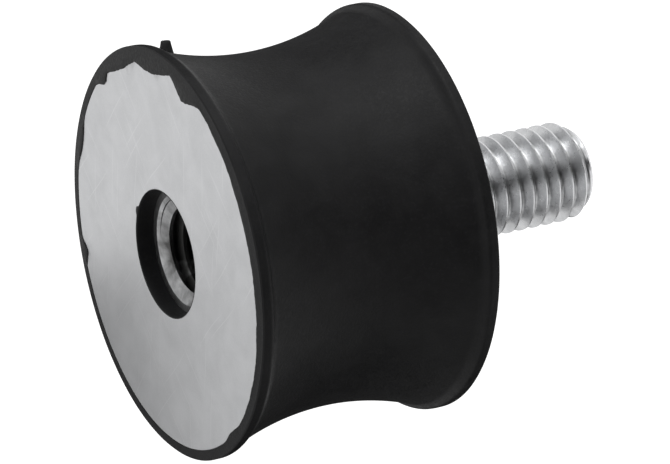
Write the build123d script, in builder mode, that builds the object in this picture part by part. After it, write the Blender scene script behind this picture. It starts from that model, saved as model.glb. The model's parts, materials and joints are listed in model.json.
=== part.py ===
# Bobbin vibration mount: a waisted rubber body bonded between two steel end plates,
# with a threaded stud at one end and a threaded bush at the other.
# Millimetres. The origin is the centre of the male plate's outer face, the axis is Z,
# the stud points down and the female end is on top.

import os
from math import radians, tan

from build123d import *

os.makedirs("parts", exist_ok=True)

# Thread of the stud and of the bush
thread_diameter = 10.0
thread_pitch = 1.5

# Rubber body
body_diameter = 40.0
body_height = 25.0           # between the outer faces of the two plates
waist_diameter = 34.7        # at mid height
lip_height = 1.1             # straight band round each end
lip_chamfer = 0.25           # on the waist side; the mould closes sharp on the plate's side
shoulder_depth = 0.55        # the waist curve starts this far inside the lip
shoulder_height = 0.35
rim_cover = 1.0              # rubber round the rim of a plate

# Moulding pip, a stub of the gate left on the flank beside the female lip
pip_root_diameter = 1.45
pip_tip_diameter = 0.65
pip_length = 2.65            # from the depth of the waist, so that its root is in the rubber
pip_setback = 3.3            # below the female end
pip_angle = -8.0             # degrees round the axis from +X

# End plates
plate_thickness = 1.8
screw_clearance = 1.2        # round the mating screw, in the female plate's hole
hole_chamfer = 0.25

# Threaded bush, seated against the inside of the female plate
bush_wall = 2.5              # round the thread
bush_flange_overlap = 2.3    # of the flange on the plate, round the hole
bush_flange_thickness = 2.0
bush_thread_depth = 7.5
bush_floor = 1.2             # under the drill point
bush_countersink_step = 0.4  # the countersink is this much larger than the thread
bush_countersink_angle = 120.0
drill_point_angle = 118.0

# Stud, pressed through the male plate from inside
stud_length = 20.0
stud_point_length = 1.4      # chamfer on its end, along the axis
stud_point_step = 1.1        # and across it
stud_neck_step = 0.6         # the neck in the plate is this much larger than the thread
stud_head_overlap = 2.6      # of the head on the plate
stud_head_thickness = 3.5

embedded_chamfer = 0.4       # on the metal edges that stand in the rubber

# Worked out from the sizes above
thread_radius = thread_diameter / 2
tapping_radius = thread_radius - 0.54127 * thread_pitch
body_radius = body_diameter / 2
lip_inner_radius = body_radius - shoulder_depth
plate_radius = body_radius - rim_cover
plate_hole_radius = thread_radius + screw_clearance
neck_radius = thread_radius + stud_neck_step
head_radius = neck_radius + stud_head_overlap
head_top = plate_thickness + stud_head_thickness
bush_top = body_height - plate_thickness
bush_radius = thread_radius + bush_wall
bush_flange_radius = plate_hole_radius + bush_flange_overlap
bush_flange_bottom = bush_top - bush_flange_thickness
countersink_radius = thread_radius + bush_countersink_step
countersink_depth = (countersink_radius - tapping_radius) / tan(radians(bush_countersink_angle / 2))
thread_bottom = bush_top - bush_thread_depth
drill_point_bottom = thread_bottom - tapping_radius / tan(radians(drill_point_angle / 2))
bush_bottom = drill_point_bottom - bush_floor


# Female end plate: a flat disc with a clearance hole for the mating screw
with BuildPart() as female_end_plate:
    with BuildSketch(Plane.XY.offset(bush_top)):
        Circle(plate_radius)
        Circle(plate_hole_radius, mode=Mode.SUBTRACT)
    extrude(amount=plate_thickness)
    hole_rim = female_end_plate.edges().group_by(Axis.Z)[-1].sort_by(SortBy.RADIUS)[0]
    chamfer(hole_rim, length=hole_chamfer)
female_end_plate.part.label = "female_end_plate"


# Male end plate: the same disc with a press hole for the neck of the stud
with BuildPart() as male_end_plate:
    with BuildSketch():
        Circle(plate_radius)
        Circle(neck_radius, mode=Mode.SUBTRACT)
    extrude(amount=plate_thickness)
male_end_plate.part.label = "male_end_plate"


# The half sections below are drawn in the plane of the axis: x is the radius, y the height.

# Outside of the bush: a flange against the plate, then a barrel with a closed floor
with BuildSketch(Plane.XZ) as bush_outline:
    with BuildLine():
        Polyline(
            (0, bush_top),
            (bush_flange_radius, bush_top),
            (bush_flange_radius, bush_flange_bottom),
            (bush_radius, bush_flange_bottom),
            (bush_radius, bush_bottom),
            (0, bush_bottom),
            close=True,
        )
    make_face()
    flange_corner = bush_outline.vertices().group_by(Axis.X)[-1].sort_by(Axis.Y)[0]
    floor_corner = bush_outline.vertices().group_by(Axis.Y)[0].sort_by(Axis.X)[-1]
    chamfer([flange_corner, floor_corner], length=embedded_chamfer)

# Blind threaded bush, bored at the tapping size with a countersink and a drill point
with BuildPart() as threaded_bush:
    add(bush_outline.sketch)
    revolve(axis=Axis.Z)
    with BuildSketch(Plane.XZ):
        with BuildLine():
            Polyline(
                (0, bush_top),
                (countersink_radius, bush_top),
                (tapping_radius, bush_top - countersink_depth),
                (tapping_radius, thread_bottom),
                (0, drill_point_bottom),
                close=True,
            )
        make_face()
    revolve(axis=Axis.Z, mode=Mode.SUBTRACT)
threaded_bush.part.label = "threaded_bush"


# Headed stud: head against the inside of the plate, plain neck in it, pointed shank below
with BuildSketch(Plane.XZ) as stud_outline:
    with BuildLine():
        Polyline(
            (0, head_top),
            (head_radius, head_top),
            (head_radius, plate_thickness),
            (neck_radius, plate_thickness),
            (neck_radius, 0),
            (thread_radius, 0),
            (thread_radius, stud_point_length - stud_length),
            (thread_radius - stud_point_step, -stud_length),
            (0, -stud_length),
            close=True,
        )
    make_face()
    head_corner = stud_outline.vertices().group_by(Axis.X)[-1].sort_by(Axis.Y)[-1]
    chamfer(head_corner, length=embedded_chamfer)

with BuildPart() as stud:
    add(stud_outline.sketch)
    revolve(axis=Axis.Z)
stud.part.label = "stud"


# Rubber body: lips round the plates, a waist between them, and sockets that fit the metal
with BuildPart() as rubber_body:
    with BuildSketch(Plane.XZ) as rubber_section:
        with BuildLine():
            waist = ThreePointArc(
                (lip_inner_radius, lip_height + shoulder_height),
                (waist_diameter / 2, body_height / 2),
                (lip_inner_radius, body_height - lip_height - shoulder_height),
            )
            Polyline(
                waist @ 1,
                (body_radius, body_height - lip_height),
                (body_radius, body_height),
                (0, body_height),
                (0, 0),
                (body_radius, 0),
                (body_radius, lip_height),
                waist @ 0,
            )
        make_face()
        lip_corners = rubber_section.vertices().group_by(Axis.X)[-1].sort_by(Axis.Y)
        chamfer(lip_corners[1:3], length=lip_chamfer)
        for seat_bottom in (0, bush_top):
            with Locations((0, seat_bottom)):
                Rectangle(plate_radius, plate_thickness, align=Align.MIN, mode=Mode.SUBTRACT)
        add(bush_outline.sketch_local, mode=Mode.SUBTRACT)
        add(stud_outline.sketch_local, mode=Mode.SUBTRACT)
    revolve(axis=Axis.Z)

    # The pip grows out of the flank, square to the axis
    pip_direction = Vector(1, 0, 0).rotate(Axis.Z, pip_angle)
    pip_centre = (0, 0, body_height - pip_setback)
    pip_root = Plane(pip_centre, z_dir=pip_direction).offset(waist_diameter / 2)
    with BuildSketch(pip_root):
        Circle(pip_root_diameter / 2)
    with BuildSketch(pip_root.offset(pip_length)):
        Circle(pip_tip_diameter / 2)
    loft()
rubber_body.part.label = "rubber_body"


export_step(rubber_body.part, "parts/rubber_body.step")
export_step(female_end_plate.part, "parts/female_end_plate.step")
export_step(threaded_bush.part, "parts/threaded_bush.step")
export_step(male_end_plate.part, "parts/male_end_plate.step")
export_step(stud.part, "parts/stud.step")
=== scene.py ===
import json
import math

import bmesh
import bpy
import numpy as np
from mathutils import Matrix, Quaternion, Vector


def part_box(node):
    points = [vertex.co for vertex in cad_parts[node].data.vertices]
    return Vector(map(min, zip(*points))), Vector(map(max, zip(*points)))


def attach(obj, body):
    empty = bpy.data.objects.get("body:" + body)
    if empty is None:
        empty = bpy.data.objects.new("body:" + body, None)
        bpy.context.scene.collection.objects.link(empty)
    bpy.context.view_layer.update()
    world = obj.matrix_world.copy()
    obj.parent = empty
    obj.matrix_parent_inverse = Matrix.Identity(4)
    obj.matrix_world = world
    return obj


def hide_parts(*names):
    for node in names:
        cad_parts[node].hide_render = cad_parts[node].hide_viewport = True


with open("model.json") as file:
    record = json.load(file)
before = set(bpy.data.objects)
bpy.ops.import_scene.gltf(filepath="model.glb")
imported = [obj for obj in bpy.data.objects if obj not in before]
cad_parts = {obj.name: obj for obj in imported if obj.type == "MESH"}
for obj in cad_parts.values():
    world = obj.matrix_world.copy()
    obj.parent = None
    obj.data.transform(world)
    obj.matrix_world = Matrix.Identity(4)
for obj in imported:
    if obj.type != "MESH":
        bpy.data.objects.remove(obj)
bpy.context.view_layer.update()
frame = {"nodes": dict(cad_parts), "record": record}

# Places that the frame gives, in metres. The mount's axis is Z, and the stud points down.
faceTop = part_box("female_end_plate")[1].z
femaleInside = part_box("female_end_plate")[0].z
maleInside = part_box("male_end_plate")[1].z
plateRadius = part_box("female_end_plate")[1].x
bodyRadius = -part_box("rubber_body")[0].x       # on the side away from the pip
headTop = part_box("stud")[1].z
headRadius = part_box("stud")[1].x
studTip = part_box("stud")[0].z
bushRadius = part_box("threaded_bush")[1].x
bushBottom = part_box("threaded_bush")[0].z
mountSizes = {m["name"]: m["dims"] for m in frame["record"]["mounts"]}
threadRadius = mountSizes["stud"]["r_mm"] / 1000
tappingRadius = mountSizes["female_thread"]["r_mm"] / 1000
threadPitch = 0.0015                           # of both threads
hiddenChamfer = 0.0004                         # on what the rubber covers, and on its sockets
print("frame loaded:", ", ".join(sorted(frame["nodes"])))

weldDistance = 2e-7
sliverLength = 1e-7
cornerSteps = 6


# Joins the strips where their rows meet, closes the poles and turns every face outwards
def closeMesh(mesh):
    weld = bmesh.new()
    weld.from_mesh(mesh)
    bmesh.ops.remove_doubles(weld, verts=weld.verts, dist=weldDistance)
    bmesh.ops.dissolve_degenerate(weld, edges=weld.edges, dist=sliverLength)
    bmesh.ops.recalc_face_normals(weld, faces=weld.faces)
    weld.to_mesh(mesh)
    weld.free()


# A closed piece of strips that meet at their first and last rows. A strip is (radius, height,
# seamRows, stain and shade): arrays with the section along the rows and the turn round the axis along the
# columns, so a point is (r cos a, r sin a, z). In a thread the rows climb one pitch in a turn, and
# the last column joins the first one seamRows further on. The last entry, from 0 to 1, says where the
# plate's real stain lies and where the turned metal gets painted shade: in the bush's bore, on its
# face and countersink, and in the stud's thread roots. The metals' materials read it.
def turnedPiece(name, strips, sharpAngle):
    points, faces, grimeAndShadeValues = [], [], []
    start = 0
    for radius, height, seamRows, grimeAndShade in strips:
        rows, columns = radius.shape
        turn = np.arange(columns) * 2 * np.pi / columns
        place = np.stack([radius * np.cos(turn), radius * np.sin(turn), height], -1)
        points.append(place.reshape(-1, 3))
        grimeAndShadeValues.append(np.broadcast_to(grimeAndShade, radius.shape).ravel())
        row, column = np.meshgrid(np.arange(rows - 1), np.arange(columns), indexing="ij")
        step = np.where(column == columns - 1, seamRows, 0)
        nextColumn = (column + 1) % columns
        here = row * columns + column
        across = np.minimum(row + step, rows - 1) * columns + nextColumn
        acrossNext = np.minimum(row + 1 + step, rows - 1) * columns + nextColumn
        corners = np.stack([here, across, acrossNext, here + columns], -1)
        faces.append(start + corners.reshape(-1, 4))
        start += rows * columns
    mesh = bpy.data.meshes.new(name)
    mesh.from_pydata(np.concatenate(points), [], np.concatenate(faces))
    attribute = mesh.attributes.new("grimeAndShade", "FLOAT", "POINT")
    attribute.data.foreach_set("value", np.concatenate(grimeAndShadeValues).astype(np.float32))
    closeMesh(mesh)
    mesh.shade_smooth()
    mesh.set_sharp_from_angle(angle=math.radians(sharpAngle))
    piece = bpy.data.objects.new(name, mesh)
    bpy.context.scene.collection.objects.link(piece)
    return piece


# Makes a strip of a section. A row is (radius, height), and either is one number, or an array
# where it changes round the axis.
def sectionStrip(section, columns, grimeAndShade=0.0):
    radius = np.stack([np.broadcast_to(r, columns) for r, _ in section])
    height = np.stack([np.broadcast_to(z, columns) for _, z in section])
    return radius, height, 0, grimeAndShade


# Points of the quadratic curve that touches both sides of a corner at one distance from it:
# (1 - t)^2 start + 2 t (1 - t) corner + t^2 end
def roundedCorner(before, corner, after, distance):
    before, corner, after = np.array([before, corner, after], float)
    toBefore, toAfter = before - corner, after - corner
    start = corner + toBefore * distance / np.linalg.norm(toBefore)
    end = corner + toAfter * distance / np.linalg.norm(toAfter)
    t = np.linspace(0, 1, cornerSteps)[:, None]
    return (1 - t) ** 2 * start + 2 * t * (1 - t) * corner + t ** 2 * end


# A smooth random curve round the axis, in -1..1: the sum of cos(n a + random phase) / n^fall, with n
# from first to last - 1
def wander(columns, first, last, fall, seed):
    draw = np.random.default_rng(seed)
    turn = np.arange(columns) * 2 * np.pi / columns
    number = np.arange(first, last)[:, None]
    phase = draw.uniform(0, 2 * np.pi, (last - first, 1))
    curve = (np.cos(number * turn + phase) / number ** fall).sum(0)
    return curve / np.abs(curve).max()


# A bump round the axis: size * exp(-(angle from the middle / spread)^2), angles in degrees
def bellRound(columns, middle, spread, size):
    away = (np.arange(columns) * 360 / columns - middle + 180) % 360 - 180
    return size * np.exp(-(away / spread) ** 2)


# A strip whose rows follow the helix z = w + pitch * a / 2 pi, cut off level at both ends. The
# section gives the depth for each share of a pitch, and the phase shifts it, as a share of a pitch.
def threadStrip(low, high, columns, phase, section):
    share, depth = section
    turns = math.ceil((high - low) / threadPitch) + 4
    w = (np.arange(turns)[:, None] + share[None, :-1]).reshape(-1) * threadPitch
    w = w + low - 2 * threadPitch + phase * threadPitch
    climb = threadPitch * np.arange(columns) / columns
    height = np.clip(w[:, None] + climb, low, high)
    part = ((height - climb - low) / threadPitch - phase) % 1.0
    return np.interp(part, share, depth), height, len(share) - 1


# Dresses a piece, and hides the nodes that it stands for
def addPiece(piece, material, slotName, *nodes):
    piece.data.materials.append(material)
    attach(piece, "root")
    if nodes:
        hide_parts(*nodes)
    triangles = sum(len(p.vertices) - 2 for p in piece.data.polygons)
    print(piece.name, "has", triangles, "triangles")


# Sets a socket to a fixed value, or links another socket to it
def feed(tree, socket, value):
    if isinstance(value, bpy.types.NodeSocket):
        tree.links.new(value, socket)
    else:
        socket.default_value = value


# A node with its settings, and with values on the sockets that the keywords name
def addNode(tree, kind, settings=None, **values):
    node = tree.nodes.new(kind)
    for key, value in (settings or {}).items():
        setattr(node, key, value)
    for key, value in values.items():
        feed(tree, node.inputs[key.replace("_", " ")], value)
    return node


# A value worked out from a and b, each of them a number or a socket
def mathNode(tree, operation, a, b=None, clamp=False):
    node = addNode(tree, "ShaderNodeMath", {"operation": operation, "use_clamp": clamp})
    feed(tree, node.inputs[0], a)
    if b is not None:
        feed(tree, node.inputs[1], b)
    return node.outputs[0]


# Colour a where the share is 0, and b where it is 1
def mixColour(tree, share, a, b):
    node = addNode(tree, "ShaderNodeMix", {"data_type": "RGBA"})
    for number, value in ((0, share), (6, a), (7, b)):    # the sockets that it has for colours
        feed(tree, node.inputs[number], value)
    return node.outputs[2]


# Carries low..high over to toLow..toHigh in a straight line, and stops at both ends
def levels(tree, value, low, high, toLow=0.0, toHigh=1.0):
    node = addNode(tree, "ShaderNodeMapRange", Value=value,
                   From_Min=low, From_Max=high, To_Min=toLow, To_Max=toHigh)
    return node.outputs["Result"]


# A group of nodes whose inputs, given with their defaults, and outputs are all plain numbers
def newGroup(name, inputs, outputs):
    group = bpy.data.node_groups.new(name, "ShaderNodeTree")
    for label, default in inputs.items():
        socket = group.interface.new_socket(label, in_out="INPUT", socket_type="NodeSocketFloat")
        socket.default_value = default
    for label in outputs:
        group.interface.new_socket(label, in_out="OUTPUT", socket_type="NodeSocketFloat")
    return group, group.nodes.new("NodeGroupInput"), group.nodes.new("NodeGroupOutput")


# The outputs of a group that is placed in a tree with its own values
def useGroup(tree, group, **values):
    return addNode(tree, "ShaderNodeGroup", {"node_tree": group}, **values).outputs


# Fine and coarse grain of a surface, from noise at two sizes on the piece's own coordinates
def makeGrainGroup():
    group, source, result = newGroup(
        "surfaceGrain", {"Fine Scale": 4000.0, "Coarse Scale": 400.0}, ("Fine", "Coarse"))
    place = addNode(group, "ShaderNodeTexCoord").outputs["Object"]
    fine = addNode(group, "ShaderNodeTexNoise", Vector=place, Scale=source.outputs["Fine Scale"],
                   Detail=4.0, Roughness=0.6)
    coarse = addNode(group, "ShaderNodeTexNoise", Vector=place, Scale=source.outputs["Coarse Scale"],
                     Detail=5.0, Roughness=0.55, Distortion=0.4)
    group.links.new(fine.outputs["Fac"], result.inputs["Fine"])
    group.links.new(coarse.outputs["Fac"], result.inputs["Coarse"])
    return group


scratchShape = {
    "directions": (0.5, 1.15, 2.75),    # radians
    "swayScale": 90.0,
    "sway": 0.0016,                     # how far the lines bend from side to side
    "laneShift": 37.0,                  # most stretches that a lane is moved along by
}


# Scratches in one direction. Across it the face is cut into lanes, and along it each lane into
# stretches; a stretch that a random number picks holds one line. The line's strength is
# 1 - (distance from the lane's middle) / width, times 4 t (1 - t) along the stretch.
def scratchesAlong(group, source, place, direction):
    mapping = addNode(group, "ShaderNodeMapping", Vector=place, Rotation=(0.0, 0.0, direction))
    turned = mapping.outputs["Vector"]
    split = addNode(group, "ShaderNodeSeparateXYZ", Vector=turned).outputs
    bend = addNode(group, "ShaderNodeTexNoise", Vector=turned, Scale=scratchShape["swayScale"], Detail=0.0)
    sway = mathNode(group, "MULTIPLY", bend.outputs["Fac"], scratchShape["sway"])
    across = mathNode(group, "ADD", split["Y"], sway)
    across = mathNode(group, "MULTIPLY", across, source.outputs["Lanes"])
    lane = mathNode(group, "FLOOR", across)
    laneDraw = addNode(group, "ShaderNodeTexWhiteNoise", {"noise_dimensions": "1D"}, W=lane)
    shift = mathNode(group, "MULTIPLY", laneDraw.outputs["Value"], scratchShape["laneShift"])
    along = mathNode(group, "MULTIPLY", split["X"], source.outputs["Stretches"])
    along = mathNode(group, "ADD", along, shift)
    stretch = mathNode(group, "FLOOR", along)
    cell = addNode(group, "ShaderNodeCombineXYZ", X=lane, Y=stretch).outputs["Vector"]
    pick = addNode(group, "ShaderNodeTexWhiteNoise", {"noise_dimensions": "3D"}, Vector=cell)
    chosen = mathNode(group, "LESS_THAN", pick.outputs["Value"], source.outputs["Share"])
    offset = mathNode(group, "SUBTRACT", mathNode(group, "FRACT", across), 0.5)
    offset = mathNode(group, "DIVIDE", mathNode(group, "ABSOLUTE", offset), source.outputs["Width"])
    line = mathNode(group, "SUBTRACT", 1.0, offset, clamp=True)
    t = mathNode(group, "FRACT", along)
    fade = mathNode(group, "MULTIPLY", t, mathNode(group, "SUBTRACT", 1.0, t))
    line = mathNode(group, "MULTIPLY", line, mathNode(group, "MULTIPLY", fade, 4.0))
    return mathNode(group, "MULTIPLY", line, chosen)


# Hairline scratches on a flat face: the strongest of the lines in all directions
def makeScratchGroup():
    group, source, result = newGroup(
        "handlingScratches", {"Lanes": 3000.0, "Stretches": 160.0, "Share": 0.12, "Width": 0.12}, ("Mask",))
    place = addNode(group, "ShaderNodeTexCoord").outputs["Object"]
    total = 0.0
    for direction in scratchShape["directions"]:
        total = mathNode(group, "MAXIMUM", total, scratchesAlong(group, source, place, direction))
    group.links.new(total, result.inputs["Mask"])
    return group


# Rings left by turning, about the mount's own axis: noise read along the radius only
def makeTurningGroup():
    group, source, result = newGroup("turningRings", {"Scale": 9000.0}, ("Rings",))
    place = addNode(group, "ShaderNodeTexCoord").outputs["Object"]
    flat = addNode(group, "ShaderNodeVectorMath", {"operation": "MULTIPLY"})
    feed(group, flat.inputs[0], place)
    feed(group, flat.inputs[1], (1.0, 1.0, 0.0))
    length = addNode(group, "ShaderNodeVectorMath", {"operation": "LENGTH"})
    feed(group, length.inputs[0], flat.outputs["Vector"])
    noise = addNode(group, "ShaderNodeTexNoise", {"noise_dimensions": "1D"}, W=length.outputs["Value"],
                    Scale=source.outputs["Scale"], Detail=3.0, Roughness=0.7)
    group.links.new(noise.outputs["Fac"], result.inputs["Rings"])
    return group


grimeAndShadeLevels = {
    "gain": 1.3,
    "bare": 0.35,
    "closed": 0.8,
}


# The piece's own stain and shade value, which is real stain on the plate and painted shade on the
# turned metal, broken up by a noise: gain * value + (noise - 0.5) * patchiness, spread so
# that the mask is 0 up to the bare level and 1 from the closed level on
def makeGrimeAndShadeGroup():
    group, source, result = newGroup("grimeAndPaintedShade", {"Noise": 0.5, "Patchiness": 1.0}, ("Mask",))
    grimeAndShade = addNode(group, "ShaderNodeAttribute", {"attribute_name": "grimeAndShade"}).outputs["Fac"]
    lift = mathNode(group, "SUBTRACT", source.outputs["Noise"], 0.5)
    lift = mathNode(group, "MULTIPLY", lift, source.outputs["Patchiness"])
    reach = mathNode(group, "ADD", mathNode(group, "MULTIPLY", grimeAndShade, grimeAndShadeLevels["gain"]), lift)
    mask = levels(group, reach, grimeAndShadeLevels["bare"], grimeAndShadeLevels["closed"])
    group.links.new(mask, result.inputs["Mask"])
    return group


grainGroup = makeGrainGroup()
scratchGroup = makeScratchGroup()
turningGroup = makeTurningGroup()
grimeAndShadeGroup = makeGrimeAndShadeGroup()


# A material, its nodes and its one shader
def newMaterial(name):
    material = bpy.data.materials.new(name)
    material.use_nodes = True
    tree = material.node_tree
    return material, tree, tree.nodes["Principled BSDF"]


# The grain at the finish's own sizes
def useGrain(tree, finish):
    return useGroup(tree, grainGroup, Fine_Scale=finish["fineScale"], Coarse_Scale=finish["coarseScale"])


# Roughness goes from low to high with the fine grain, whose values lie mostly within 0.3..0.7
def grainRoughness(tree, grain, finish):
    return levels(tree, grain["Fine"], 0.3, 0.7, finish["roughLow"], finish["roughHigh"])


# Zinc goes dull in clouds, which follow the coarse grain
def cloudyZinc(tree, grain, finish):
    cloud = levels(tree, grain["Coarse"], 0.35, 0.7)
    return mixColour(tree, cloud, finish["zinc"], finish["dull"])


# Tilts the shader's normals by a height of 0 to 1, which stands for the finish's bump depth
def addBump(tree, shader, height, finish):
    node = addNode(tree, "ShaderNodeBump", Strength=finish["bumpStrength"],
                   Distance=finish["bumpDepth"], Height=height)
    tree.links.new(node.outputs["Normal"], shader.inputs["Normal"])


rubberFinish = {
    "black": (0.006, 0.006, 0.0064, 1.0),
    "bloom": (0.0155, 0.0155, 0.016, 1.0),    # greyish film that comes to the surface of old rubber
    "bloomShare": 0.62,
    "clouds": (0.38, 0.68, 0.6),     # levels of the coarse grain, and how much bloom they carry
    "flecks": (0.52, 0.75, 0.75),    # the same for the fine grain
    "fineScale": 3600.0,
    "coarseScale": 260.0,
    "roughLow": 0.45,
    "roughHigh": 0.62,
    "specular": 0.15,
    "coarseHeight": 1.4,             # height of the coarse grain for 1 of the fine
    "bumpStrength": 0.55,
    "bumpDepth": 0.00005,
}


# Black, with a grey bloom where the clouds and flecks add up, and a grainy skin
def makeRubber():
    finish = rubberFinish
    material, tree, shader = newMaterial("mouldedRubber")
    grain = useGrain(tree, finish)
    cloudLow, cloudHigh, cloudShare = finish["clouds"]
    fleckLow, fleckHigh, fleckShare = finish["flecks"]
    cloud = mathNode(tree, "MULTIPLY", levels(tree, grain["Coarse"], cloudLow, cloudHigh), cloudShare)
    fleck = mathNode(tree, "MULTIPLY", levels(tree, grain["Fine"], fleckLow, fleckHigh), fleckShare)
    both = mathNode(tree, "ADD", cloud, fleck)
    share = mathNode(tree, "MULTIPLY", both, finish["bloomShare"], clamp=True)
    colour = mixColour(tree, share, finish["black"], finish["bloom"])
    tree.links.new(colour, shader.inputs["Base Color"])
    tree.links.new(grainRoughness(tree, grain, finish), shader.inputs["Roughness"])
    shader.inputs["Specular IOR Level"].default_value = finish["specular"]
    coarse = mathNode(tree, "MULTIPLY", grain["Coarse"], finish["coarseHeight"])
    addBump(tree, shader, mathNode(tree, "ADD", grain["Fine"], coarse), finish)
    return material


sheetFinish = {
    "zinc": (0.585, 0.59, 0.6, 1.0),
    "dull": (0.525, 0.53, 0.54, 1.0),
    "scratches": {"Lanes": 2600.0, "Stretches": 130.0, "Share": 0.05, "Width": 0.17},
    "scratchColour": (0.74, 0.745, 0.75, 1.0),
    "scratchShare": 0.38,
    "scratchPolish": 0.1,                  # how much smoother they are
    "scratchDepth": 0.4,                   # for 1 of the grain
    "smearColour": (0.17, 0.17, 0.172, 1.0),    # bonding agent and rubber that crept over the face
    "smearShare": 0.8,
    "smearPatchiness": 1.0,
    "fineScale": 5200.0,
    "coarseScale": 330.0,
    "roughLow": 0.36,
    "roughHigh": 0.52,
    "bumpStrength": 0.35,
    "bumpDepth": 0.00002,
}


# Clouded zinc, paler and smoother in the scratches, with the dark smear over both
def makeZincSheet():
    finish = sheetFinish
    material, tree, shader = newMaterial("zincPlatedSheet")
    grain = useGrain(tree, finish)
    marks = useGroup(tree, scratchGroup, **finish["scratches"])["Mask"]
    smear = useGroup(tree, grimeAndShadeGroup, Noise=grain["Coarse"], Patchiness=finish["smearPatchiness"])["Mask"]
    scratched = mathNode(tree, "MULTIPLY", marks, finish["scratchShare"])
    smeared = mathNode(tree, "MULTIPLY", smear, finish["smearShare"])
    colour = mixColour(tree, scratched, cloudyZinc(tree, grain, finish), finish["scratchColour"])
    colour = mixColour(tree, smeared, colour, finish["smearColour"])
    tree.links.new(colour, shader.inputs["Base Color"])
    shader.inputs["Metallic"].default_value = 1.0
    polish = mathNode(tree, "MULTIPLY", marks, finish["scratchPolish"])
    rough = mathNode(tree, "SUBTRACT", grainRoughness(tree, grain, finish), polish)
    tree.links.new(rough, shader.inputs["Roughness"])
    groove = mathNode(tree, "MULTIPLY", marks, finish["scratchDepth"])
    addBump(tree, shader, mathNode(tree, "SUBTRACT", grain["Fine"], groove), finish)
    return material


turnedFinish = {
    "zinc": (0.66, 0.665, 0.675, 1.0),
    "dull": (0.52, 0.525, 0.535, 1.0),
    # painted shade: the dark colour laid into the bush's bore, face and countersink and the stud's thread
    # roots
    "paintedShadeColour": (0.05, 0.049, 0.047, 1.0),
    "paintedShadeShare": 0.92,
    "paintedShadePatchiness": 0.45,
    "paintedShadeDulling": 0.15,        # how much rougher the places under the painted shade are
    "ringScale": 7000.0,
    "grainHeight": 0.4,        # for 1 of the turning's rings
    "fineScale": 4800.0,
    "coarseScale": 700.0,
    "roughLow": 0.24,
    "roughHigh": 0.4,
    "bumpStrength": 0.4,
    "bumpDepth": 0.000012,
}


# Clouded zinc with painted shade over it, dark in the bush's bore, face and countersink and in the
# stud's thread roots, where the same mask also dulls it, with the turning's rings in its bump
def makeTurnedZinc():
    finish = turnedFinish
    material, tree, shader = newMaterial("zincPlatedTurned")
    grain = useGrain(tree, finish)
    rings = useGroup(tree, turningGroup, Scale=finish["ringScale"])["Rings"]
    paintedShade = useGroup(tree, grimeAndShadeGroup, Noise=grain["Coarse"], Patchiness=finish["paintedShadePatchiness"])["Mask"]
    paintedShadeAmount = mathNode(tree, "MULTIPLY", paintedShade, finish["paintedShadeShare"])
    colour = mixColour(tree, paintedShadeAmount, cloudyZinc(tree, grain, finish), finish["paintedShadeColour"])
    tree.links.new(colour, shader.inputs["Base Color"])
    shader.inputs["Metallic"].default_value = 1.0
    dulling = mathNode(tree, "MULTIPLY", paintedShade, finish["paintedShadeDulling"])
    rough = mathNode(tree, "ADD", grainRoughness(tree, grain, finish), dulling)
    tree.links.new(rough, shader.inputs["Roughness"])
    fine = mathNode(tree, "MULTIPLY", grain["Fine"], finish["grainHeight"])
    addBump(tree, shader, mathNode(tree, "ADD", rings, fine), finish)
    return material


rubber = makeRubber()
zincSheet = makeZincSheet()
zincTurned = makeTurnedZinc()
print("materials made")

mouldingShape = {
    "columns": 960,
    "sharpAngle": 40,           # edges sharper than this stay hard, in degrees
    "waistRadius": 0.01735,
    "neckRadius": 0.01945,      # where the waist curve starts
    "neckHeight": 0.00145,      # and how far that is from the end face
    "waistRows": 44,
    "lipHeight": 0.0011,
    "lipRounding": 0.00035,
    "edge": 0.00012,            # broken edge of the end faces
    "waviness": 0.00004,        # the mould's and the rubber's own unevenness
    # film of rubber that crept over the female plate. Its lobes: degrees round the axis, half width
    # in degrees, how far inwards they reach
    "filmLobes": ((-90, 42, 0.0005), (-39, 7, 0.0016), (-18, 11, 0.0014), (3, 12, 0.00095),
                  (18, 4, 0.001), (49, 7, 0.00065), (84, 3, 0.0009), (-160, 5, 0.0003)),
    "filmTear": 0.00013,        # how ragged its edge is
    "filmLeast": 0.00004,       # its reach where it is narrowest
    "filmThickness": 0.00011,
    "filmFull": 0.0004,         # reach at which it has its whole thickness
    "filmEdge": 0.00012,        # width of its rounded edge
    "filmSunk": 0.00001,        # its underside lies this far inside the plate's face
}


# How far the film reaches inwards round the axis: a bump for each lobe, and the largest counts
def filmLobeReach(columns):
    return np.max([bellRound(columns, *lobe) for lobe in mouldingShape["filmLobes"]], axis=0)


# The waist is a circular arc between the two necks; its radius is (half^2 + sag^2) / (2 sag)
def waistArc():
    m = mouldingShape
    top, bottom = faceTop - m["neckHeight"], m["neckHeight"]
    half, sag = (top - bottom) / 2, m["neckRadius"] - m["waistRadius"]
    arcRadius = (half ** 2 + sag ** 2) / (2 * sag)
    lean = math.asin(half / arcRadius)
    turn = np.linspace(-lean, lean, m["waistRows"])
    radius = m["waistRadius"] + arcRadius * (1 - np.cos(turn))
    height = (top + bottom) / 2 + arcRadius * np.sin(turn)
    return np.stack([radius, height], -1)


# The flank from end to end: lip, waist, lip. A slow wander is added to its radius, 0.4 of it at
# the ends and all of it half way up.
def flankStrip(columns):
    m = mouldingShape
    arc, edge, lip = waistArc(), m["edge"], m["lipHeight"]
    section = np.concatenate([
        [(bodyRadius - edge, 0), (bodyRadius, edge)],
        roundedCorner((bodyRadius, 0), (bodyRadius, lip), arc[0], m["lipRounding"]),
        arc,
        roundedCorner(arc[-1], (bodyRadius, faceTop - lip), (bodyRadius, faceTop), m["lipRounding"]),
        [(bodyRadius, faceTop - edge), (bodyRadius - edge, faceTop)]])
    radius, height, seam, grimeAndShade = sectionStrip(section, columns)
    middle = np.sin(np.pi * np.clip(height / faceTop, 0, 1))
    drift = wander(columns, 2, 9, 1.0, 5) * 0.6 + wander(columns, 9, 40, 0.8, 6) * 0.4
    return radius + m["waviness"] * drift * (0.4 + 0.6 * middle), height, seam, grimeAndShade


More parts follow.
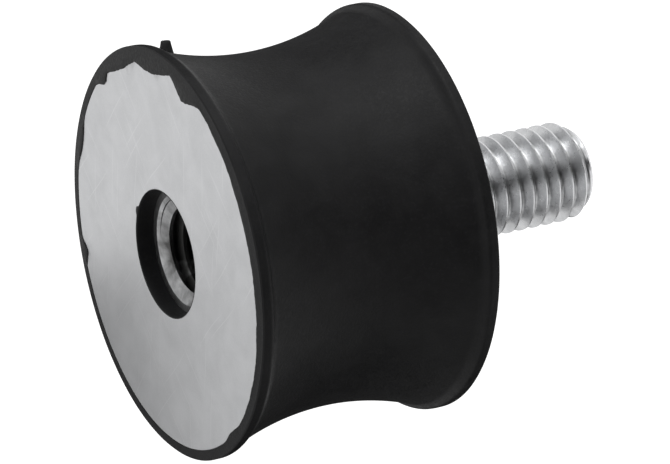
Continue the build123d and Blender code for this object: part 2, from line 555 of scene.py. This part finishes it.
# The torn film: a low step over the plate's rim, whose inner edge is the lobes' reach with a
# ragged curve added
def filmSection(columns):
    m = mouldingShape
    tear = wander(columns, 9, 60, 0.5, 3) + 0.6 * wander(columns, 60, 200, 0.3, 4)
    reach = filmLobeReach(columns)
    reach = np.clip(reach + m["filmTear"] * tear * (0.3 + reach / reach.max()), m["filmLeast"], None)
    inner = plateRadius - reach
    film = m["filmThickness"] * np.clip(reach / m["filmFull"], 0.2, 1.0)
    under = faceTop - m["filmSunk"]
    return [(plateRadius, faceTop + film * 0.6), (inner + m["filmEdge"], faceTop + film),
            (inner + m["filmEdge"] / 4, faceTop + film * 0.7), (inner, under), (plateRadius, under)]


# The moulding is the flank, the film, and the sockets that close it: steps that hold the plates,
# the bush and the stud's head
def makeRubberMoulding():
    columns, chamfer = mouldingShape["columns"], hiddenChamfer
    flange, barrel = bushShape["flangeBottom"], bushShape["barrelRadius"]
    flank, film = flankStrip(columns), filmSection(columns)
    lipFace = [(flank[0][-1], flank[1][-1])] + film
    upperSocket = [film[-1], (plateRadius, femaleInside), (bushRadius, femaleInside),
                   (bushRadius, flange + chamfer), (bushRadius - chamfer, flange),
                   (barrel, flange), (barrel, bushBottom + chamfer), (barrel - chamfer, bushBottom),
                   (0, bushBottom)]
    lowerSocket = [(0, headTop), (headRadius - chamfer, headTop), (headRadius, headTop - chamfer),
                   (headRadius, maleInside), (plateRadius, maleInside), (plateRadius, 0),
                   (flank[0][0], flank[1][0])]
    return turnedPiece("rubber_moulding", [
        sectionStrip(lowerSocket, columns), flank, sectionStrip(lipFace, columns),
        sectionStrip(upperSocket, columns)], mouldingShape["sharpAngle"])


pipShape = {
    "height": 0.0219,          # along the mount's axis
    "turn": -8.0,              # degrees round it, from +X
    "lean": 6.0,               # degrees that it was bent over towards the male end
    "rootRadius": 0.00102,
    "tipRadius": 0.00046,
    "from": 0.0176,            # distance of its root and its tip from the axis
    "to": 0.01985,
    "fillet": 1.15,            # above 1, it spreads where it leaves the flank
    "lumpiness": 0.09,         # share of its radius
    "tear": 0.00008,
    "columns": 40,
    "sharpAngle": 50,
}


# A stub that narrows to a torn tip: its radius is tip + (root - tip) (1 - t)^fillet
def makePip():
    p = pipShape
    t = np.linspace(0, 1, 14)
    length = p["to"] - p["from"]
    side = p["tipRadius"] + (p["rootRadius"] - p["tipRadius"]) * (1 - t) ** p["fillet"]
    roundedEnd = [(p["tipRadius"] * 0.75, length * 1.04), (0, length * 1.045)]
    section = np.concatenate([[(0, 0)], np.stack([side, t * length], -1), roundedEnd])
    radius, height, seam, grimeAndShade = sectionStrip(section, p["columns"])
    radius = radius * (1 + p["lumpiness"] * wander(p["columns"], 2, 7, 0.5, 8))
    tornTip = np.where(height > length * 0.9, p["tear"], 0)
    height = height + tornTip * wander(p["columns"], 1, 4, 0.5, 9)
    height[-1] = height[-1].mean()
    piece = turnedPiece("moulding_pip", [(radius, height, seam, grimeAndShade)], p["sharpAngle"])
    roundAxis = Quaternion((0, 0, 1), math.radians(p["turn"]))
    outwards = roundAxis @ Quaternion((0, 1, 0), math.radians(90 + p["lean"]))
    matrix = outwards.to_matrix().to_4x4()
    matrix.translation = roundAxis @ Vector((p["from"], 0, 0)) + Vector((0, 0, p["height"]))
    piece.data.transform(matrix)
    return piece


holeShadeSleeveShape = {
    "thickness": 0.00006,
    "faceThickness": 0.000025,
    "reach": 0.00004,          # how far it stands out on the plate's face, round the hole
    "least": 0.00002,
    "tab": (43.0, 4.5, 0.0006),    # a wider tab of it: degrees round the axis, half width, reach
    "columns": 480,
    "sharpAngle": 50,
}


# Painted shade: a thin black rubber sleeve that darkens the wall of the plate's hole, which only
# lies in shade. A thin sleeve: down the wall, over the rolled edge, ragged where it ends on the face.
def makeHoleShadeSleeve():
    f, hole, roll = holeShadeSleeveShape, femalePlateShape["holeRadius"], femalePlateShape["holeRoll"]
    columns, thick, rise = f["columns"], f["thickness"], f["faceThickness"]
    ragged = 0.5 + 0.5 * wander(columns, 5, 70, 0.5, 21)
    tab = bellRound(columns, *f["tab"])
    reach = np.clip(f["reach"] * ragged + tab * (0.6 + 0.4 * ragged), f["least"], None)
    mouth = hole + roll * 0.4
    section = [(hole - thick, femaleInside), (hole - thick, faceTop - 2 * roll),
               (hole - thick * 0.6, faceTop - roll * 0.7), (mouth, faceTop + rise * 0.5),
               (mouth + reach * 0.7, faceTop + rise), (mouth + reach, faceTop + rise * 0.2),
               (mouth + reach, faceTop - thick), (mouth, faceTop - thick),
               (hole + thick, faceTop - 2 * roll), (hole + thick, femaleInside),
               (hole - thick, femaleInside)]
    return turnedPiece("hole_shade_sleeve", [sectionStrip(section, columns)], f["sharpAngle"])


femalePlateShape = {
    "holeRadius": 0.0062,
    "holeRoll": 0.00008,       # edge drawn in by the punch
    "shearedShare": 0.55,      # share of the thickness that the punch cut smoothly
    "breakOut": 0.00012,       # torn zone of the hole's wall, wider than its mouth
    "tear": 0.00004,
    "rimEdge": 0.00008,
    "smearReach": 0.0036,      # stained margin inside the rim
    "smearGrime": 0.6,
    "plainFrom": 0.001,        # the face's own rows start this far from the hole
    "stainTo": 0.0004,         # and end this far from the rim
    "plainRows": 8,
    "stainRows": 5,
    "columns": 320,
    "sharpAngle": 35,
}


# Punched disc: rolled edge at the mouth of the hole, a smooth wall, then the rougher torn zone.
# The stain fades in a straight line from the rim and is darker where the film reaches further.
def makeFemalePlate():
    p = femalePlateShape
    columns, low, high = p["columns"], femaleInside, faceTop
    hole, roll, rimEdge, smear = p["holeRadius"], p["holeRoll"], p["rimEdge"], p["smearReach"]
    sheared = high - (high - low) * p["shearedShare"]
    mouth = roundedCorner((hole + 2 * roll, high), (hole, high), (hole, high - 2 * roll), roll * 1.5)
    plainPart = np.linspace((hole + p["plainFrom"], high), (plateRadius - smear, high), p["plainRows"])
    stainedPart = np.linspace(
        (plateRadius - smear * 0.75, high), (plateRadius - p["stainTo"], high), p["stainRows"])
    section = np.concatenate([
        [(hole + p["breakOut"], low), (hole + p["breakOut"] * 0.7, (low + sheared) / 2), (hole, sheared),
         (hole, high - 2 * roll)],
        mouth[::-1], [(hole + 2 * roll, high)], plainPart, stainedPart,
        [(plateRadius - rimEdge, high), (plateRadius, high - rimEdge), (plateRadius, low),
         (hole + p["breakOut"], low)]])
    radius, height, seam, _ = sectionStrip(section, columns)
    radius[1] += p["tear"] * wander(columns, 12, 90, 0.5, 14)
    reach = filmLobeReach(columns)
    fromRim = np.clip(1 - (plateRadius - radius) / smear, 0, 1)
    grimeAndShade = p["smearGrime"] * fromRim * (0.35 + 0.65 * reach / reach.max())
    grimeAndShade = grimeAndShade * (0.75 + 0.25 * wander(columns, 5, 40, 0.6, 15))
    return turnedPiece("female_plate_disc", [(radius, height, seam, grimeAndShade)], p["sharpAngle"])


malePlateShape = {
    "holeEdge": 0.00012,
    "rimEdge": 0.00008,
    "plainFrom": 0.002,        # the face's own rows start this far from both edges
    "plainRows": 8,
    "columns": 320,
    "sharpAngle": 35,
}


# A plain disc round the stud's neck, with the edges of its outer face broken
def makeMalePlate():
    p, neck = malePlateShape, studShape["neckRadius"]
    face = np.linspace((neck + p["plainFrom"], 0), (plateRadius - p["plainFrom"], 0), p["plainRows"])
    section = np.concatenate([
        [(neck, maleInside), (neck, p["holeEdge"]), (neck + p["holeEdge"], 0)], face,
        [(plateRadius - p["rimEdge"], 0), (plateRadius, p["rimEdge"]), (plateRadius, maleInside),
         (neck, maleInside)]])
    return turnedPiece("male_plate_disc", [sectionStrip(section, p["columns"])], p["sharpAngle"])


bushShape = {
    "flangeBottom": 0.0212,
    "barrelRadius": 0.0075,
    "threadBottom": 0.0157,
    "countersinkRadius": 0.0054,
    "countersinkAngle": 120.0,
    "mouthRim": 0.0002,        # flat ring round the countersink
    "drillAngle": 118.0,
    "crestFlat": 0.25,         # shares of a pitch
    "rootFlat": 0.125,
    "rootRadius": 0.00505,
    "runOut": 0.002,           # the tap leaves the last turns shallow
    "phase": 0.23,             # where the groove breaks out of the countersink, in turns
    "finePart": 0.0015,        # depth to which the groove's break-out needs a finer mesh
    "rowsPerPitch": 15,
    "fineRowsPerPitch": 60,
    "columns": 288,
    "sharpAngle": 28,
    "faceShade": 0.46,         # painted shade on its face and countersink, which also dulls them
    "shadePatch": (90.0, 30.0, 0.2),    # darker patch of that painted shade: degrees round the axis, half width, how much
    "litRidge": (113.0, 15.0, 0.75),  # gap in the bore's painted shade, where a thread ridge shows lit, given in the same way
    "shadeFrom": 0.0008,         # depth below its face where the bore's painted shade starts
    "shadeFull": 0.0016,
}


# A stretch of the bore. Its radius is the larger of the thread's and the countersink's: the
# thread's is the crest plus the groove, and the cone's falls by tan(half its angle) per depth.
def boreStrip(start, end, rowsPerPitch):
    b = bushShape
    columns, low, high = b["columns"], b["threadBottom"], femaleInside
    crest, root = b["crestFlat"] / 2, b["rootFlat"] / 2
    share = np.array([0, crest, 0.5 - root, 0.5, 0.5 + root, 1 - crest, 1])
    grooveDepth = np.array([0, 0, 1, 1, 1, 0, 0]) * (b["rootRadius"] - tappingRadius)
    fineShare = np.unique(np.concatenate([share, np.linspace(0, 1, rowsPerPitch)]))
    phase = (b["phase"] + (low - start) / threadPitch) % 1.0    # all stretches share one thread
    section = fineShare, np.interp(fineShare, share, grooveDepth)
    groove, height, seam = threadStrip(start, end, columns, phase, section)
    groove = groove * np.clip((height - low) / b["runOut"], 0, 1)
    cone = b["countersinkRadius"] - (high - height) * math.tan(math.radians(b["countersinkAngle"] / 2))
    radius = np.maximum(tappingRadius + groove, cone)
    # Painted shade: the bore darkens with depth below the face, less at the lit ridge, and the countersink
    # gets the face's shade plus the darker patch, more of it further in
    shadePatch, litRidge = bellRound(columns, *b["shadePatch"]), bellRound(columns, *b["litRidge"])
    paintedShade = np.clip((high - height - b["shadeFrom"]) / (b["shadeFull"] - b["shadeFrom"]), 0, 1) * (1 - litRidge)
    inner = np.clip((b["countersinkRadius"] - radius) / (b["countersinkRadius"] - tappingRadius), 0, 1)
    return radius, height, seam, np.maximum(paintedShade, b["faceShade"] + shadePatch * inner)


# The bush: a drilled floor, the bore in a plain and a fine stretch, then flange and barrel outside
def makeBush():
    b, chamfer = bushShape, hiddenChamfer
    columns, low, high = b["columns"], b["threadBottom"], femaleInside
    flange, barrel, mouth = b["flangeBottom"], b["barrelRadius"], b["countersinkRadius"]
    point = low - tappingRadius / math.tan(math.radians(b["drillAngle"] / 2))
    floor = [(0, point), (tappingRadius * 0.5, (low + point) / 2), (tappingRadius, low)]
    outside = [(mouth, high), (mouth + b["mouthRim"], high), (bushRadius, high),
               (bushRadius, flange + chamfer), (bushRadius - chamfer, flange), (barrel, flange),
               (barrel, bushBottom + chamfer), (barrel - chamfer, bushBottom), (0, bushBottom)]
    finePart = high - b["finePart"]
    # The drilled floor gets the full painted shade, and the outside the face's painted shade
    return turnedPiece("tapped_bush", [
        sectionStrip(floor, columns, 1.0), boreStrip(low, finePart, b["rowsPerPitch"]),
        boreStrip(finePart, high, b["fineRowsPerPitch"]),
        sectionStrip(outside, columns, b["faceShade"])], b["sharpAngle"])


studShape = {
    "crestRounding": 0.00008,  # the crests stay this far inside the thread's radius
    "crestFlat": 0.1,          # shares of a pitch
    "rootArc": 0.144,
    "threadAngle": 60.0,
    "phase": 0.2,
    "pointLength": 0.0014,
    "pointRadius": 0.0039,
    "pointDome": 0.00012,
    "neckRadius": 0.0056,
    "neckEdge": 0.0001,
    "runOutStart": -0.0024,
    "runOutEnd": -0.0008,
    # painted shade in the thread roots, darkest where they are deepest
    "rootShade": 0.36,
    "columns": 224,
    "sharpAngle": 30,
}


# Depth of the rolled thread below its crest, for each share of a pitch from the crest's middle:
# a flat crest, straight flanks and a root arc that both flanks touch
def rolledThread(crestFlat, rootArc, threadAngle):
    flat, lean = crestFlat / 2, threadAngle / 2
    touch = 0.5 - rootArc * math.cos(math.radians(lean))
    touchDepth = (touch - flat) * math.tan(math.radians(threadAngle))
    arcTurn = np.radians(np.linspace(lean, 90, 5))
    arcDepth = touchDepth + rootArc * (np.sin(arcTurn) - math.sin(math.radians(lean)))
    share = np.concatenate([[0, flat, (flat + touch) / 2], 0.5 - rootArc * np.cos(arcTurn)])
    depth = np.concatenate([[0, 0, touchDepth / 2], arcDepth])
    share = np.concatenate([share, 1 - share[-2::-1]])
    depth = np.concatenate([depth, depth[-2::-1]])
    return share, depth * threadPitch


# The shank's radius is the smaller of the thread's and the point's cone. The thread gets shallow
# and runs out before the plate; the neck is in the plate and the head in the rubber.
def makeStud():
    s, chamfer = studShape, hiddenChamfer
    columns, low, high = s["columns"], studTip, 0.0
    crest, point, neck = threadRadius - s["crestRounding"], s["pointRadius"], s["neckRadius"]
    section = rolledThread(s["crestFlat"], s["rootArc"], s["threadAngle"])
    depth, height, seam = threadStrip(low, high, columns, s["phase"], section)
    depth = depth * np.clip((s["runOutEnd"] - height) / (s["runOutEnd"] - s["runOutStart"]), 0, 1)
    cone = point + (height - low) * (crest - point) / s["pointLength"]
    # Painted shade in the thread roots, darker the deeper the root
    grimeAndShade = s["rootShade"] * depth / depth.max()
    dome = np.linspace(0, 1, 8)
    end = np.stack([point * dome, low - s["pointDome"] * (1 - dome ** 2)], -1)
    head = [(crest, high), (neck - s["neckEdge"], high), (neck, high + s["neckEdge"]),
            (neck, maleInside), (headRadius, maleInside), (headRadius, headTop - chamfer),
            (headRadius - chamfer, headTop), (0, headTop)]
    return turnedPiece("threaded_stud", [
        sectionStrip(end, columns), (np.minimum(crest - depth, cone), height, seam, grimeAndShade),
        sectionStrip(head, columns)], s["sharpAngle"])


addPiece(makeRubberMoulding(), rubber, "rubber", "rubber_body")
addPiece(makePip(), rubber, "rubber")
addPiece(makeHoleShadeSleeve(), rubber, "rubber")
addPiece(makeFemalePlate(), zincSheet, "zinc_plate", "female_end_plate")
addPiece(makeMalePlate(), zincSheet, "zinc_plate", "male_end_plate")
addPiece(makeBush(), zincTurned, "zinc_bush", "threaded_bush")
addPiece(makeStud(), zincTurned, "zinc_stud", "stud")
print("pieces made")


# A flat piece of the stage, which isn't part of the object
def stagePiece(name, points, faces, material):
    mesh = bpy.data.meshes.new(name)
    mesh.from_pydata(points, [], faces)
    mesh.materials.append(material)
    piece = bpy.data.objects.new(name, mesh)
    bpy.context.scene.collection.objects.link(piece)
    return piece


# 1 for what the camera, metal and glass see, 0 for the light that falls on the object
def seenDirectly(tree):
    path = addNode(tree, "ShaderNodeLightPath").outputs
    seen = mathNode(tree, "MAXIMUM", path["Is Camera Ray"], path["Is Glossy Ray"])
    return mathNode(tree, "MAXIMUM", seen, path["Is Transmission Ray"])


floorShape = {
    "below": 0.036,            # under the tip of the stud
    "half": 3.0,
    "colour": (0.86, 0.86, 0.86, 1.0),
    "glow": 0.55,              # added where it is seen directly, so that it shows white
}
floorHeight = studTip - floorShape["below"]


# Matt and pale, so that it keeps the shadow, with the glow added where it is seen directly
def makeFloor():
    material = bpy.data.materials.new("paleFloor")
    material.use_nodes = True
    tree = material.node_tree
    tree.nodes.clear()
    diffuse = addNode(tree, "ShaderNodeBsdfDiffuse", Color=floorShape["colour"])
    strength = mathNode(tree, "MULTIPLY", seenDirectly(tree), floorShape["glow"])
    glow = addNode(tree, "ShaderNodeEmission", Strength=strength)
    both = addNode(tree, "ShaderNodeAddShader")
    output = addNode(tree, "ShaderNodeOutputMaterial")
    tree.links.new(diffuse.outputs[0], both.inputs[0])
    tree.links.new(glow.outputs[0], both.inputs[1])
    tree.links.new(both.outputs[0], output.inputs["Surface"])
    half, z = floorShape["half"], floorHeight
    corners = [(-half, -half, z), (half, -half, z), (half, half, z), (-half, half, z)]
    stagePiece("floor", corners, [(0, 1, 2, 3)], material)


cardShape = {
    "colour": (0.015, 0.015, 0.015, 1.0),
    "overFloor": 0.001,
    # one lies over the floor and leaves open the ground round the mount and to the right in front
    # of it, as (x, y) of its outline
    "outline": ((0.15, -1.2), (0.032, -0.073), (0.052, -0.056), (0.085, -0.045), (0.08, -0.012),
                (0.05, -0.014), (0.024, -0.045), (-0.018, -0.045), (-0.038, -0.11), (-0.1, -0.11),
                (-0.17, -0.07), (-0.18, 0.0), (-0.114, 0.0), (-0.104, -0.018), (-0.078, -0.018),
                (-0.062, 0.02), (-0.055, 0.07), (-0.03, 0.1), (0.0, 0.12), (0.04, 0.115),
                (0.08, 0.09), (0.1, 0.05), (0.112, 0.0),
                (1.2, 0.0), (1.2, 1.2), (-1.2, 1.2), (-1.2, -1.2)),
    # two stand, one behind the mount and one far in front, by two opposite corners
    "standing": {
        "side_card": ((-0.2, 0.045, 0.03), (0.0, 0.045, 0.046)),
        "front_card": ((-0.7, -0.6, -0.056), (0.36, -0.6, 0.55)),
    },
}


# Black cards that only reflections see: metal and rubber get their dark bands from them, while
# floor and light stay as they are
def makeCards():
    material, _, shader = newMaterial("blackCard")
    shader.inputs["Base Color"].default_value = cardShape["colour"]
    shader.inputs["Roughness"].default_value = 1.0
    shader.inputs["Specular IOR Level"].default_value = 0.0
    height = floorHeight + cardShape["overFloor"]
    outlines = {"floor_card": [(x, y, height) for x, y in cardShape["outline"]]}
    for name, ((x0, y0, z0), (x1, y1, z1)) in cardShape["standing"].items():
        outlines[name] = [(x0, y0, z0), (x1, y1, z0), (x1, y1, z1), (x0, y0, z1)]
    for name, corners in outlines.items():
        card = stagePiece(name, corners, [tuple(range(len(corners)))], material)
        card.visible_camera = False
        card.visible_diffuse = False
        card.visible_shadow = False
        card.visible_transmission = False


light = {
    "worldLevel": 0.55,
    # watts, width and height, place, and whether reflections see the lamp. The broad one gives the
    # light, the strip a soft sheen on the rubber's flare
    "lamps": {
        "broad_lamp": (2.3, 0.8, 0.65, (0.43, -0.23, 0.4), False),
        "strip_lamp": (1.1, 0.28, 0.15, (0.57, -0.29, 0.012), True),
    },
}


# Plain white for what the camera and the metal see, a lower level for the light on the object
def makeWorld():
    world = bpy.data.worlds.new("studio")
    bpy.context.scene.world = world
    world.use_nodes = True
    tree = world.node_tree
    background = tree.nodes["Background"]
    background.inputs["Color"].default_value = (1.0, 1.0, 1.0, 1.0)
    strength = levels(tree, seenDirectly(tree), 0.0, 1.0, light["worldLevel"], 1.0)
    tree.links.new(strength, background.inputs["Strength"])


# An area lamp that faces the origin, where the stud leaves the plate
def makeLamp(name, power, width, height, place, reflected):
    data = bpy.data.lights.new(name, "AREA")
    data.shape = "RECTANGLE"
    data.size = width
    data.size_y = height
    data.energy = power
    lamp = bpy.data.objects.new(name, data)
    lamp.visible_glossy = reflected
    lamp.location = place
    lamp.rotation_mode = "QUATERNION"
    lamp.rotation_quaternion = Vector(place).to_track_quat("Z", "Y")
    bpy.context.scene.collection.objects.link(lamp)


view = {
    "aim": (-0.00128, 0.00178, 0.00615),
    "distance": 0.4470,
    "elevation": 26.10,
    "azimuth": 0.18,
    "roll": 101.97,            # so that the mount lies on its side
    "lens": 248.2,
    "clip": (0.01, 20.0),
}


# The camera looks at the aim from the direction (sin a cos e, -cos a cos e, sin e)
def makeCamera():
    data = bpy.data.cameras.new("camera")
    data.lens = view["lens"]
    data.clip_start, data.clip_end = view["clip"]
    camera = bpy.data.objects.new("camera", data)
    e, a = math.radians(view["elevation"]), math.radians(view["azimuth"])
    back = Vector((math.sin(a) * math.cos(e), -math.cos(a) * math.cos(e), math.sin(e)))
    camera.location = Vector(view["aim"]) + back * view["distance"]
    camera.rotation_mode = "QUATERNION"
    level = (-back).to_track_quat("-Z", "Y")
    camera.rotation_quaternion = Quaternion(back, math.radians(-view["roll"])) @ level
    bpy.context.scene.collection.objects.link(camera)
    bpy.context.scene.camera = camera


makeFloor()
makeCards()
makeWorld()
for lampName, lampValues in light["lamps"].items():
    makeLamp(lampName, *lampValues)
makeCamera()
bpy.context.scene.view_settings.view_transform = "Standard"
print("stage, light and camera made")
